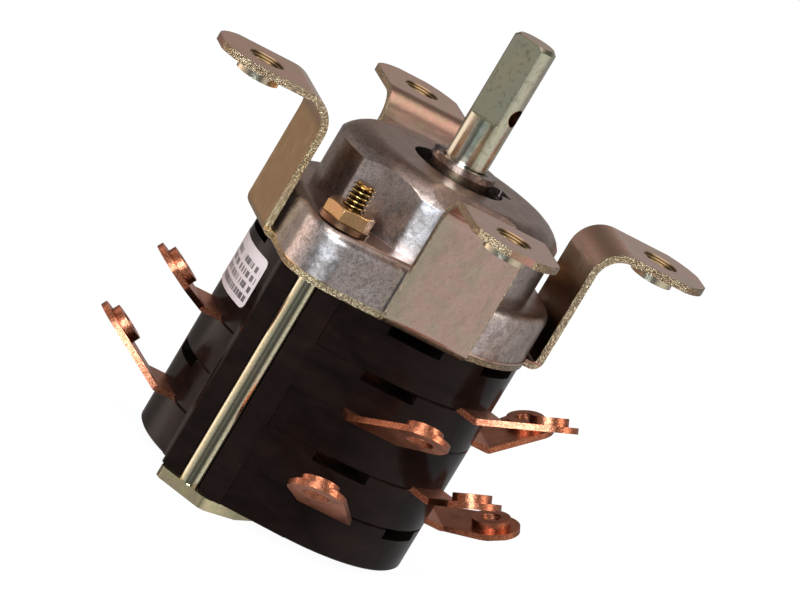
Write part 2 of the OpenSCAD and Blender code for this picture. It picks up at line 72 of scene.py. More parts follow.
# Sizes in mm that the pieces below share with the solids.
ROD_R = 2.4
ROD_CIRCLE_R = 33.56
ROD_XY = ROD_CIRCLE_R * math.sqrt(0.5)
ROD_ANGLES = (225, 45)
ROD_TOP = -8.6
ROD_LOW = -82.2
SHOULDER_Z = -18.2
SHEET = 1.6
TAB_ANGLES = (0, 90, 180, 270)
TAB_CIRCLE_R = 47.6
TAB_HOLE_R = 2.8
TAB_NOSE_R = 10.8
COLLAR_R = 4.7
ARM_HALF = 9.8
PLATE_TOP = -28.9
LEG_INNER = 31.9
DOME_TOP = -2.85
WELL_REACH = 12.7
CROSS_HOLE_Z = 13.1
CROSS_HOLE_R = 1.985
SHAFT_TOP = 28.7
DECK_R = 30.8
BEND_X = 34.1
TERMINAL_SLOPE = 28.5
TERMINAL_HOLE = (10.0, 6.5)
TERMINAL_HOLE_R = 2.05
TERMINAL_BEND = 2.1
TERMINAL_SINK = 0.4

# The decks from the top down, and the heights of the seams between them.
DECKS = [f"deck_{number}" for number in range(1, 6)]
SEAMS = {"a": -41.3, "b": -50.9, "c": -60.5, "d": -70.1}

# Each terminal's seam, its angle round the shaft, and which side of its
# tongue the hole stands on.
TERMINALS = {
    "terminal_corner_upper": ("a", 315, 1),
    "terminal_left_upper": ("b", 180, 1),
    "terminal_front_upper": ("b", 270, 1),
    "terminal_right_upper": ("b", 0, 1),
    "terminal_corner_lower": ("c", 315, -1),
    "terminal_left_lower": ("d", 180, -1),
    "terminal_front_lower": ("d", 270, -1),
    "terminal_right_lower": ("d", 0, -1),
}

# Threads in mm: the solids leave them as plain cylinders. A span is the
# lowest and the highest point of a thread in its own hole, and a run-out is
# where it fades away. ROD_END_DEPTH is the share of its depth that is left at
# the rod's end, and the two values called SIDES count the points of a ring.
# A thread's height is a zigzag from 0 to 1 that is stretched and sunk, so
# that it is flat where it would pass 1 or 0.
ROD_PITCH = 1.058
ROD_DEPTH = 0.55
ROD_RUN_OUT = 0.7
ROD_END_TAPER = 0.5
ROD_END_DEPTH = 0.25
ROD_STEP = 0.08
ROD_SIDES = 40
TAB_PITCH = 1.0
TAB_DEPTH = 0.34
TAB_SPAN = (-3.95, -1.45)
TERMINAL_DEPTH = 0.3
TERMINAL_SPAN = (-1.2, 0.85)
HOLE_RUN_OUT = 0.3
HOLE_STEP = 0.1
HOLE_SIDES = 32
WALL_GAP = 0.02
ZIGZAG_STRETCH = 1.35
ZIGZAG_SINK = 0.1

# A rod's lower bevel, the narrow rings that keep its shading straight beside
# an edge, and the radius that its ends close to, all in mm.
ROD_BEVEL = 0.25
RING_GAP = 0.1
CENTRE_R = 0.01

# The sticker: heights and lengths in mm, places round the decks in degrees.
# A stroke's middle and half its height are shares of its row. The jump is how
# far apart the rows lie in the noise that cuts them into strokes.
LABEL_LOW = -46.0
LABEL_HIGH = -34.7
LABEL_SPAN = (146.0, 201.2)
LABEL_CORNER = 1.4
LABEL_MARGIN = 1.0
LABEL_ROW = 2.1
LABEL_ROWS = 4
LABEL_TEXT = (169.0, 199.5)
LABEL_LINE = 166.5
LABEL_LINE_HALF = 0.09
STROKE_MIDDLE = 0.42
STROKE_HALF = 0.32
STROKE_NOISE = 1.8
ROW_JUMP = 7.3

# Where the looks change, in mm: how far a look reaches in from an edge, the
# reach of the painted shade and painted crest highlights in a tab's flared
# hole, and the two places between which one look fades into the next.
EDGE = 0.2
PLATE_RIM = 0.25
LEG_FOOT = 0.3
TAB_HOLE_REACH = 4.02
FRONT_GREEN_X = (-9.5, -5.5)
LEFT_GOLD_X = (-31, -20)
TAB_ROSE_Z = (-6, -2.2)
# The heights over which the painted shade on the legs' inner faces fades out.
INSIDE_SHADE_Z = (-12, -3.5)
# Reach of the grime and painted shade round a stud, from full to none.
STUD_GRIME_AND_SHADE = (6, 14)
# The radii over which a rod's thread crests take on their painted highlight.
CREST_HIGHLIGHT_R = (ROD_R - 0.25, ROD_R - 0.03)
TIP_RUST_Z = (ROD_TOP - 1.0, ROD_TOP - 0.6)
OIL_Z = (SHOULDER_Z, SHOULDER_Z + 1)

# How the meshes are made: angles in degrees, and the weld in metres.
WELD = 1e-6
FLAT_ANGLE = 0.6
BEVEL_ANGLE = 38
SHARP_ANGLE = 32
THREAD_SHARP = 60

# How bright the studio is all round the switch, as degrees from the side the
# camera is on (less than 0 is left of it) and level.
ROOM = [(-180, 0.40), (-158, 0.16), (-140, 0.24), (-129, 0.50), (-121, 1.80),
        (-110, 2.00), (-98, 1.60), (-82, 1.00), (-60, 0.58), (-44, 0.30),
        (-32, 0.08), (-22, 0.07), (-17, 0.16), (-9, 0.15), (-4, 0.08),
        (18, 0.07), (30, 0.14), (38, 0.55), (66, 0.95), (96, 0.85),
        (118, 0.45), (144, 0.38), (180, 0.40)]
ROOM_PEAK = 2.0
LEFT_END = -60
LEFT_TINT = (1.0, 0.88, 0.80)

# Where a plain level takes over from the room: the z of a direction of length
# 1 where it starts, the z where nothing else is left, and the level.
UPPER_WALL = (0.32, 0.52, 0.16)
OVERHEAD = (0.82, 0.95, 1.15)
BELOW = (-0.35, -0.65, 0.55)

# The floor and the backdrop, as the camera sees them; lengths in metres.
FLOOR_HALF = 6.0
FLOOR_GREY = 0.75
FLOOR_GLOW = 1.06
FLOOR_GLOW_SHARE = 0.9

# Lamps: degrees from the camera's side, degrees up, metres away, size in
# metres, watts and colour. They all point to a place a little below z = 0.
LAMPS = {
    "front": (-8, 10, 1.3, (0.7, 0.45), 22, (0.70, 0.87, 1.0)),
    "key": (-30, 46, 1.1, (0.3, 0.3), 6, (1.0, 0.97, 0.93)),
    "side": (75, 35, 1.1, (0.4, 0.4), 5, (1.0, 0.97, 0.92)),
}
LAMP_AIM = Vector((0, 0, -0.03))


# Camera

def make_camera():
    """The camera that sees the switch as the photograph shows it."""
    a, e, roll = (math.radians(v) for v in (AZIMUTH, ELEVATION, ROLL))
    back = Vector((math.sin(a) * math.cos(e), -math.cos(a) * math.cos(e),
                   math.sin(e)))
    right = Vector((math.cos(a), math.sin(a), 0))
    up = back.cross(right)
    off_x = IMAGE_SIZE[0] / 2 - AXIS_PIXEL[0]
    off_y = AXIS_PIXEL[1] - IMAGE_SIZE[1] / 2
    x = off_x * math.cos(roll) - off_y * math.sin(roll)
    y = off_x * math.sin(roll) + off_y * math.cos(roll)
    z_axis = (back - (right * x + up * y) / FOCAL_PIXELS).normalized()
    image_up = up * math.cos(roll) - right * math.sin(roll)
    x_axis = image_up.cross(z_axis).normalized()
    y_axis = z_axis.cross(x_axis)
    data = bpy.data.cameras.new("camera")
    data.sensor_width = 36
    data.lens = FOCAL_PIXELS * data.sensor_width / IMAGE_SIZE[0]
    data.clip_end = 20
    cam = bpy.data.objects.new("camera", data)
    bpy.context.scene.collection.objects.link(cam)
    turn = Matrix((x_axis, y_axis, z_axis)).transposed().to_4x4()
    cam.matrix_world = Matrix.Translation(back * DISTANCE) @ turn
    bpy.context.scene.camera = cam


# Material building blocks

class Nodes:
    """A node tree with short calls for the nodes that its users share."""

    def __init__(self, tree):
        self.tree = tree

    def add(self, kind):
        return self.tree.nodes.new("ShaderNode" + kind)

    def put(self, node, socket, value):
        """Sets a socket, or links it where the value is a socket too."""
        slot = node.inputs[socket]
        if isinstance(value, bpy.types.NodeSocket):
            self.tree.links.new(value, slot)
        else:
            slot.default_value = value

    def vector(self, operation, a, b):
        node = self.add("VectorMath")
        node.operation = operation
        self.put(node, 0, a)
        self.put(node, 1, b)
        return node.outputs[0]

    def math(self, operation, a, b=0.0, c=0.0):
        node = self.add("Math")
        node.operation = operation
        for i, value in enumerate((a, b, c)):
            self.put(node, i, value)
        return node.outputs[0]

    def above(self, value, limit):
        return self.math("GREATER_THAN", value, limit)

    def under(self, value, limit):
        return self.math("LESS_THAN", value, limit)

    def both(self, a, b):
        return self.math("MULTIPLY", a, b)

    def either(self, a, b):
        return self.math("MAXIMUM", a, b)

    def length(self, a, b):
        """How long a step of a one way and of b square to it is."""
        squares = self.math("ADD", self.math("POWER", a, 2.0),
                            self.math("POWER", b, 2.0))
        return self.math("POWER", squares, 0.5)

    def parts(self, vector):
        """The x, y and z of a vector."""
        node = self.add("SeparateXYZ")
        self.put(node, 0, vector)
        return node.outputs

    def between(self, fac, low, high, to_low=0.0, to_high=1.0):
        node = self.add("MapRange")
        self.put(node, 0, fac)
        for i, value in enumerate((low, high, to_low, to_high), 1):
            self.put(node, i, value)
        return node.outputs[0]

    def ramp(self, fac, stops):
        node = self.add("ValToRGB")
        marks = node.color_ramp.elements
        while len(marks) < len(stops):
            marks.new(0.5)
        for mark, (place, color) in zip(marks, stops):
            mark.position = place
            mark.color = (*color, 1)
        self.put(node, "Fac", fac)
        return node.outputs["Color"]

    def mix(self, fac, a, b, blend="MIX"):
        node = self.add("Mix")
        node.data_type = "RGBA"
        node.blend_type = blend
        self.put(node, 0, fac)
        for socket, value in ((6, a), (7, b)):
            if not isinstance(value, bpy.types.NodeSocket):
                value = (*value, 1)
            self.put(node, socket, value)
        return node.outputs[2]

    def shaders(self, fac, a, b):
        """Shader a where fac is 0, shader b where it is 1."""
        node = self.add("MixShader")
        for i, value in enumerate((fac, a, b)):
            self.put(node, i, value)
        return node.outputs[0]


class Look(Nodes):
    """A material whose patterns are laid out in the frame's millimetres."""

    def __init__(self, name):
        self.material = bpy.data.materials.new(name)
        self.material.use_nodes = True
        super().__init__(self.material.node_tree)
        self.shader = self.tree.nodes["Principled BSDF"]
        self.mm = self.vector("MULTIPLY",
                              self.add("TexCoord").outputs["Object"],
                              [1 / MM] * 3)

    def facing(self):
        """The x, y and z of the way that the flat face looks."""
        return self.parts(self.add("NewGeometry").outputs["True Normal"])

    def noise(self, scale, detail=4.0, roughness=0.55, stretch=None,
              distortion=0.0):
        node = self.add("TexNoise")
        where = self.mm
        if stretch:
            where = self.vector("MULTIPLY", self.mm, stretch)
        self.put(node, "Vector", where)
        self.put(node, "Scale", scale)
        self.put(node, "Detail", detail)
        self.put(node, "Roughness", roughness)
        self.put(node, "Distortion", distortion)
        return node.outputs["Fac"]

    def paint(self, tint, mask, share, color):
        """The tint with a share of color over it where the mask is 1."""
        return self.mix(self.math("MULTIPLY", mask, share), tint, color)

    def bump(self, height, distance, strength=1.0, under=None):
        node = self.add("Bump")
        self.put(node, "Height", height)
        self.put(node, "Distance", distance * MM)
        self.put(node, "Strength", strength)
        if under:
            self.put(node, "Normal", under)
        return node.outputs["Normal"]

    def finish(self, color, rough, normal, metal=1.0, **plain):
        self.put(self.shader, "Base Color", color)
        self.put(self.shader, "Roughness", rough)
        self.put(self.shader, "Metallic", metal)
        self.put(self.shader, "Normal", normal)
        for socket, value in plain.items():
            self.put(self.shader, socket.replace("_", " "), value)
        return self.material


def from_rod(look, x, y):
    """How far a place is from the axis of the tie rod on its side."""
    return look.length(*(look.math("SUBTRACT", look.math("ABSOLUTE", v),
                                   ROD_XY) for v in (x, y)))


def plated_steel(name, gold, rose, green, rough, patch, seed, dark):
    """Yellow zinc plate: a thin coat whose tint drifts from place to place."""
    look = Look(name)
    look.mm = look.vector("ADD", look.mm, seed)
    drift = look.noise(patch, 3, 0.5, distortion=1.5)
    tint = look.ramp(drift, [(0.30, green), (0.46, gold), (0.56, rose),
                             (0.68, gold), (0.80, green)])
    cloud = look.noise(0.35, 5, 0.6)
    tint = look.mix(look.between(cloud, 0.35, 0.75, 0, 0.30), tint,
                    tuple(dark * v for v in gold))
    fine = look.noise(2.2, 4, 0.75)
    tint = look.mix(look.between(fine, 0.50, 0.74, 0, 0.65), tint,
                    tuple(0.35 * v for v in gold))
    roughness = look.between(look.math("ADD", cloud, fine), 0.6, 1.4,
                             rough - 0.05, rough + 0.10)
    grain = look.bump(fine, 0.03, 0.55)
    grain = look.bump(look.noise(0.22, 2, 0.5), 0.4, 0.30, grain)
    return look.finish(tint, roughness, grain)


def spider_tint(look, x, z, cloud):
    """Pale front, golden left leg and rosy tabs, each one clouded."""
    front = look.ramp(cloud, [(0.34, (0.63, 0.495, 0.375)),
                              (0.48, (0.70, 0.470, 0.400)),
                              (0.62, (0.65, 0.485, 0.370))])
    front = look.mix(look.between(x, *FRONT_GREEN_X, 0.75, 0), front,
                     (0.53, 0.48, 0.35))
    gold = look.ramp(cloud, [(0.34, (0.88, 0.52, 0.26)),
                             (0.50, (0.82, 0.52, 0.25)),
                             (0.66, (0.84, 0.56, 0.29))])
    rose = look.ramp(cloud, [(0.34, (0.76, 0.385, 0.310)),
                             (0.50, (0.68, 0.385, 0.275)),
                             (0.66, (0.64, 0.430, 0.275))])
    tint = look.mix(look.between(x, *LEFT_GOLD_X, 1, 0), front, gold)
    return look.mix(look.between(z, *TAB_ROSE_Z), tint, rose)


def spider_inside_shade(look, along, z):
    """Where the legs' inner faces look at the housing: painted shade there, full low down
    and fading out upwards.
    """
    inner = look.either(look.under(along, LEG_INNER + EDGE),
                        look.above(look.facing()[2], 0.1))
    inner = look.both(inner, look.between(z, *INSIDE_SHADE_Z, 1, 0))
    return look.both(inner, look.above(z, PLATE_TOP + 2 * EDGE))


def spider_edges(look, along, across, nose, z):
    """Where the sheet was sheared: the tabs' noses, the arms, the plate."""
    tip = look.both(look.above(nose, TAB_NOSE_R - EDGE),
                    look.above(along, TAB_CIRCLE_R))
    side = look.both(look.above(across, ARM_HALF - EDGE),
                     look.above(z, PLATE_TOP + LEG_FOOT))
    return look.either(look.either(tip, side),
                       look.under(z, PLATE_TOP - PLATE_RIM))


def spider_steel(name):
    """The spider's plate, with torn edges, dull collars, and holes in painted shade
    striped with painted highlights on the thread crests.
    """
    look = Look(name)
    x, y, z = look.parts(look.mm)
    wide, deep = look.math("ABSOLUTE", x), look.math("ABSOLUTE", y)
    along = look.math("MAXIMUM", wide, deep)
    across = look.math("MINIMUM", wide, deep)
    nose = look.length(look.math("SUBTRACT", along, TAB_CIRCLE_R), across)
    fine = look.noise(2.4, 4, 0.75)
    cloud = look.noise(0.12, 4, 0.55, distortion=1.0)
    torn = look.noise(3.4, 4, 0.7)
    tint = spider_tint(look, x, z, cloud)
    # Painted shade on the legs' inner faces.
    tint = look.paint(tint, spider_inside_shade(look, along, z), 0.85,
                      (0.22, 0.125, 0.06))
    tint = look.mix(look.between(fine, 0.52, 0.74, 0, 0.35), tint,
                    (0.25, 0.18, 0.12))
    # Painted shade in the tabs' flared holes, striped with painted highlights where the
    # thread crests would catch the light.
    shaded_hole = look.both(look.under(nose, TAB_HOLE_REACH),
                      look.above(z, -SHEET))
    crest_highlight = look.above(look.math("FRACT", look.math(
        "DIVIDE", z, TAB_PITCH / 2)), 0.6)
    tint = look.paint(tint, shaded_hole, 0.9, look.mix(
        crest_highlight, (0.10, 0.055, 0.025), (0.62, 0.42, 0.18)))
    collar = look.both(look.under(nose, COLLAR_R + EDGE),
                       look.under(z, -SHEET - EDGE / 2))
    collar = look.both(collar, look.above(z, PLATE_TOP / 2))
    tint = look.paint(tint, collar, 0.8, (0.55, 0.50, 0.36))
    edge = spider_edges(look, along, across, nose, z)
    tint = look.paint(tint, edge, 0.9, look.ramp(torn, [
        (0.40, (0.09, 0.060, 0.035)), (0.51, (0.24, 0.165, 0.090)),
        (0.63, (0.70, 0.57, 0.37))]))
    roughness = look.between(look.math("ADD", cloud, fine), 0.6, 1.4, 0.16,
                             0.28)
    grain = look.bump(fine, 0.03, 0.5)
    grain = look.bump(look.noise(0.22, 2, 0.5), 0.4, 0.25, grain)
    grain = look.bump(look.math("MULTIPLY", edge, torn), 0.25, 0.8, grain)
    return look.finish(tint, roughness, grain)


def zinc_tint(look, x, y, z, fine):
    """Mottled grey with blots and pits; upward faces darker and browner as painted shade,
    and grime with painted shade round the studs.
    """
    cloud = look.noise(0.11, 5, 0.6, distortion=0.8)
    tint = look.ramp(cloud, [(0.30, (0.44, 0.34, 0.29)),
                             (0.46, (0.54, 0.44, 0.40)),
                             (0.60, (0.60, 0.52, 0.50)),
                             (0.75, (0.48, 0.38, 0.33))])
    # Painted shade: upward faces darker and browner than the walls.
    scale = look.mix(look.between(look.facing()[2], 0.6, 0.9),
                     (1.0, 0.98, 0.97), (0.73, 0.545, 0.455))
    tint = look.mix(1.0, tint, scale, "MULTIPLY")
    # Grime and painted shade: darker round the studs, above the flange.
    grime_and_shade = look.both(
        look.between(from_rod(look, x, y), *STUD_GRIME_AND_SHADE, 0.6, 0),
        look.above(z, SHOULDER_Z - 0.5))
    tint = look.mix(grime_and_shade, tint, (0.17, 0.11, 0.08))
    tint = look.mix(look.between(fine, 0.46, 0.64, 0, 0.7), tint,
                    (0.13, 0.105, 0.10))
    blots = look.noise(0.42, 4, 0.65, distortion=1.4)
    tint = look.mix(look.between(blots, 0.50, 0.62, 0, 0.45), tint,
                    (0.15, 0.12, 0.11))
    pits = look.between(look.noise(3.2, 2, 0.6), 0.64, 0.72)
    return look.paint(tint, pits, 0.55, (0.03, 0.028, 0.032))


def cast_zinc(name):
    """The housing: mottled die-cast zinc, with painted shade in the recess round the
    shaft.
    """
    look = Look(name)
    x, y, z = look.parts(look.mm)
    fine = look.noise(2.2, 5, 0.8)
    marks = look.between(look.noise(0.5, 3, 0.5, stretch=(9, 0.35, 3)),
                         0.60, 0.68)
    shaded_well = look.both(look.under(look.length(x, y), WELL_REACH),
                     look.under(z, DOME_TOP - 0.15))
    # Painted shade: the recess round the shaft and its notch, near black.
    tint = look.paint(zinc_tint(look, x, y, z, fine), shaded_well, 0.92,
                      (0.022, 0.014, 0.011))
    roughness = look.math("ADD", look.between(fine, 0.3, 0.7, 0.25, 0.36),
                          look.math("MULTIPLY", marks, 0.10))
    roughness = look.math("ADD", roughness, look.math("MULTIPLY", shaded_well, 0.2))
    grain = look.bump(fine, 0.04, 0.7)
    grain = look.bump(look.noise(0.16, 3, 0.5), 0.6, 0.35, grain)
    return look.finish(tint, roughness, grain)


def stud_steel(name):
    """Tie rods: pale plate below; above, oil-dark threads with painted highlights on their
    crests, and an orange tip.
    """
    look = Look(name)
    x, y, z = look.parts(look.mm)
    fine = look.noise(2.0, 4, 0.75)
    plate = look.ramp(look.noise(0.12, 3, 0.5), [
        (0.35, (0.68, 0.58, 0.39)), (0.50, (0.64, 0.58, 0.40)),
        (0.65, (0.70, 0.58, 0.41))])
    plate = look.mix(look.between(fine, 0.50, 0.70, 0, 0.7), plate,
                     (0.16, 0.24, 0.17))
    # Painted highlight on the thread crests, over the dark oil in the valleys.
    crest_highlight = look.between(from_rod(look, x, y), *CREST_HIGHLIGHT_R)
    oil_and_crest_highlight = look.mix(crest_highlight, (0.08, 0.045, 0.015), (0.42, 0.28, 0.11))
    rust = look.mix(look.between(look.noise(0.9, 3, 0.6), 0.4, 0.6),
                    (0.20, 0.10, 0.03), (0.52, 0.27, 0.07))
    oil_and_crest_highlight = look.mix(look.between(z, *TIP_RUST_Z), oil_and_crest_highlight, rust)
    tint = look.mix(look.between(z, *OIL_Z), plate, oil_and_crest_highlight)
    roughness = look.between(fine, 0.3, 0.7, 0.11, 0.18)
    return look.finish(tint, roughness, look.bump(fine, 0.02, 0.4))


def phenolic(name):
    """Moulded decks: near-black brown, glossy, with a faint flow pattern."""
    look = Look(name)
    flow = look.noise(0.07, 4, 0.6, stretch=(1, 1, 2.5), distortion=1.2)
    tint = look.ramp(flow, [(0.3, (0.0036, 0.0022, 0.0020)),
                            (0.5, (0.0058, 0.0032, 0.0027)),
                            (0.7, (0.0095, 0.0050, 0.0039))])
    dust = look.between(look.noise(2.6, 3, 0.7), 0.70, 0.78)
    tint = look.paint(tint, dust, 0.25, (0.11, 0.085, 0.075))
    roughness = look.between(look.noise(0.3, 4, 0.6), 0.3, 0.7, 0.16, 0.26)
    grain = look.bump(look.noise(0.25, 2, 0.5), 0.35, 0.22)
    grain = look.bump(look.noise(3.0, 3, 0.6), 0.015, 0.3, grain)
    return look.finish(tint, roughness, grain, 0.0, IOR=1.33,
                       Specular_IOR_Level=0.2,
                       Specular_Tint=(1.0, 0.72, 0.66, 1))


def copper(name):
    """Bare stamped copper: clouded by handling, darker where it was shorn."""
    look = Look(name)
    cloud = look.noise(0.16, 5, 0.6, distortion=0.6)
    tint = look.ramp(cloud, [(0.30, (0.37, 0.115, 0.054)),
                             (0.48, (0.62, 0.215, 0.108)),
                             (0.62, (0.70, 0.255, 0.138)),
                             (0.76, (0.47, 0.150, 0.070))])
    fine = look.noise(2.2, 5, 0.75)
    tint = look.mix(look.between(fine, 0.52, 0.70, 0, 0.6), tint,
                    (0.20, 0.060, 0.032))
    shorn = look.between(look.math("ABSOLUTE", look.facing()[2]), 0.6, 0.8,
                         0.85, 0)
    torn = look.noise(3.2, 4, 0.75)
    tint = look.mix(shorn, tint, look.ramp(torn, [
        (0.40, (0.12, 0.034, 0.017)), (0.50, (0.33, 0.105, 0.052)),
        (0.62, (0.58, 0.210, 0.120))]))
    roughness = look.between(look.math("ADD", cloud, fine), 0.6, 1.4, 0.28,
                             0.42)
    grain = look.bump(look.noise(2.4, 4, 0.7), 0.06, 0.6)
    grain = look.bump(look.noise(0.5, 3, 0.5), 0.25, 0.4, grain)
    return look.finish(tint, roughness, grain)


def machined_steel(name):
    """The shaft: grey-green plate over turned steel, with a painted warm highlight in the
    cross hole and on its top end.
    """
    look = Look(name)
    drift = look.noise(0.10, 3, 0.5, stretch=(1, 1, 0.5), distortion=1.0)
    tint = look.ramp(drift, [(0.30, (0.52, 0.47, 0.32)),
                             (0.45, (0.47, 0.46, 0.34)),
                             (0.55, (0.52, 0.45, 0.36)),
                             (0.68, (0.46, 0.45, 0.35)),
                             (0.80, (0.53, 0.46, 0.30))])
    stain = look.between(look.noise(0.8, 5, 0.65), 0.54, 0.72, 0, 0.5)
    tint = look.mix(stain, tint, (0.15, 0.10, 0.07))
    x, y, z = look.parts(look.mm)
    side = look.math("MULTIPLY", look.math("ADD", x, y), math.sqrt(0.5))
    off_hole = look.length(look.math("SUBTRACT", z, CROSS_HOLE_Z), side)
    # Painted highlight: warm gold in the cross hole and on the top end.
    hole_and_end_highlight = look.either(look.under(off_hole, CROSS_HOLE_R + 0.12),
                       look.above(z, SHAFT_TOP - 0.15))
    tint = look.paint(tint, hole_and_end_highlight, 0.85, (0.50, 0.31, 0.17))
    lines = look.noise(1.0, 3, 0.6, stretch=(0.5, 0.5, 14))
    roughness = look.between(lines, 0.3, 0.7, 0.12, 0.22)
    grain = look.bump(lines, 0.012, 0.4)
    grain = look.bump(look.noise(1.4, 4, 0.6), 0.04, 0.4, grain)
    return look.finish(tint, roughness, grain)


def dark_steel(name, tint_low, tint_high, rough=0.38):
    """A dull metal whose tint wanders between two tones."""
    look = Look(name)
    tint = look.ramp(look.noise(0.7, 4, 0.6), [(0.35, tint_low),
                                               (0.65, tint_high)])
    return look.finish(tint, rough, look.bump(look.noise(2.5, 3, 0.6), 0.04,
                                              0.4))


def round_deck(degrees):
    """The length in mm of an arc round the decks."""
    return math.radians(degrees) * DECK_R


def label_ink(look, along, z):
    """Rows of short strokes, with an upright line to the left of them."""
    rows = look.math("DIVIDE", look.math(
        "SUBTRACT", z, LABEL_LOW + LABEL_MARGIN), LABEL_ROW)
    inside = look.math("COMPARE", look.math("FRACT", rows), STROKE_MIDDLE,
                       STROKE_HALF)
    spot = look.add("CombineXYZ")
    look.put(spot, 0, along)
    look.put(spot, 1, look.math("MULTIPLY", look.math("FLOOR", rows),
                                ROW_JUMP))
    stroke = look.add("TexNoise")
    look.put(stroke, "Vector", spot.outputs[0])
    look.put(stroke, "Scale", STROKE_NOISE)
    look.put(stroke, "Detail", 1.0)
    ink = look.both(inside, look.between(stroke.outputs["Fac"], 0.44, 0.47))
    start, end = (round_deck(v) for v in LABEL_TEXT)
    ink = look.both(ink, look.both(look.above(along, start),
                                   look.under(along, end)))
    low = LABEL_LOW + LABEL_MARGIN
    ink = look.both(ink, look.both(
        look.above(z, low), look.under(z, low + LABEL_ROWS * LABEL_ROW)))
    return look.either(ink, look.math("COMPARE", along,
                                      round_deck(LABEL_LINE),
                                      LABEL_LINE_HALF))


def label_outside(look, along, z):
    """Where the label's rounded corners end and the deck's resin shows."""
    reach = []
    for place, (low, high) in ((along, [round_deck(v) for v in LABEL_SPAN]),
                               (z, (LABEL_LOW, LABEL_HIGH))):
        off = look.math("ABSOLUTE", look.math("SUBTRACT", place,
                                              (low + high) / 2))
        off = look.math("SUBTRACT", off, (high - low) / 2 - LABEL_CORNER)
        off = look.math("MAXIMUM", off, 0.0)
        reach.append(look.math("POWER", off, 2.0))
    return look.above(look.math("ADD", *reach), LABEL_CORNER ** 2)


def sticker(name):
    """Coated paper with plain grey strokes where a table of ratings stood."""
    look = Look(name)
    x, y, z = look.parts(look.mm)
    turn = look.math("ARCTAN2", y, x)
    turn = look.math("ADD", turn, look.math(
        "MULTIPLY", look.under(turn, 0.0), 2 * math.pi))
    along = look.math("MULTIPLY", turn, DECK_R)
    paper = look.mix(look.noise(0.2, 3, 0.5), (0.475, 0.385, 0.370),
                     (0.545, 0.445, 0.430))
    tint = look.paint(paper, label_ink(look, along, z), 0.92,
                      (0.035, 0.025, 0.03))
    tint = look.mix(label_outside(look, along, z), tint,
                    (0.006, 0.004, 0.004))
    grain = look.bump(look.noise(1.2, 3, 0.6), 0.02, 0.3)
    return look.finish(tint, 0.42, grain, 0.0)


# Pieces

def new_piece(name, mesh, material, slot, body, *nodes, sharp=SHARP_ANGLE):
    """A smooth-shaded piece on a body, in place of the nodes that it names."""
    mesh.materials.clear()
    mesh.materials.append(material)
    mesh.polygons.foreach_set("use_smooth", [True] * len(mesh.polygons))
    mesh.set_sharp_from_angle(angle=math.radians(sharp))
    piece = bpy.data.objects.new(name, mesh)
    bpy.context.scene.collection.objects.link(piece)
    weigh = piece.modifiers.new("flat faces stay flat", "WEIGHTED_NORMAL")
    weigh.keep_sharp = True
    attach(piece, body)
    if nodes:
        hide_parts(*nodes)
    return piece


def whole_faces(node):
    """The node's solid as a mesh whose flat faces are whole."""
    mesh = bpy.data.meshes.new(node + ".soft")
    bm = bmesh.new()
    bm.from_mesh(NODES[node].data)
    bmesh.ops.remove_doubles(bm, verts=bm.verts, dist=WELD)
    bmesh.ops.dissolve_limit(bm, angle_limit=math.radians(FLAT_ANGLE),
                             verts=bm.verts, edges=bm.edges)
    bm.to_mesh(mesh)
    bm.free()
    return mesh


def softened(node, width, segments, angle):
    """A copy of the node's mesh whose sharp edges are rounded by width mm."""
    mesh = whole_faces(node)
    carrier = bpy.data.objects.new("carrier", mesh)
    bpy.context.scene.collection.objects.link(carrier)
    bevel = carrier.modifiers.new("round", "BEVEL")
    bevel.width = width * MM
    bevel.segments = segments
    bevel.limit_method = "ANGLE"
    bevel.angle_limit = math.radians(angle)
    bevel.use_clamp_overlap = True
    graph = bpy.context.evaluated_depsgraph_get()
    result = bpy.data.meshes.new_from_object(carrier.evaluated_get(graph))
    bpy.data.objects.remove(carrier)
    bpy.data.meshes.remove(mesh)
    return result


def dress(node, material, body, width, segments=2, angle=BEVEL_ANGLE):
    """The node again, with softened edges and its material."""
    return new_piece(node + ".dressed",
                     softened(node, width, segments, angle),
                     material, SLOTS[node], body, node)


def turned(rings, place, steps):
    """A surface of revolution given as (z, radius at angle) pairs in mm."""
    bm = bmesh.new()
    rows = []
    for z, radius in rings:
        row = []
        for i in range(steps):
            turn = 2 * math.pi * i / steps
            r = radius(turn) if callable(radius) else radius
            row.append(bm.verts.new(place @ Vector(
                (r * math.cos(turn), r * math.sin(turn), z)) * MM))
        rows.append(row)
    for low, high in zip(rows, rows[1:]):
        for i in range(steps):
            j = (i + 1) % steps
            bm.faces.new((low[i], low[j], high[j], high[i]))
    return bm


def gathered(name, parts):
    """One mesh made of several bmeshes, which are freed."""
    whole = bmesh.new()
    for part in parts:
        mesh = bpy.data.meshes.new("part")
        part.to_mesh(mesh)
        part.free()
        whole.from_mesh(mesh)
        bpy.data.meshes.remove(mesh)
    mesh = bpy.data.meshes.new(name)
    whole.to_mesh(mesh)
    whole.free()
    return mesh


def wave(z, turn, pitch):
    """Height of a screw thread at this height and angle, from 0 to 1."""
    part = (z / pitch - turn / (2 * math.pi)) % 1
    zigzag = 1 - abs(2 * part - 1)
    return min(1, max(0, ZIGZAG_STRETCH * zigzag - ZIGZAG_SINK))


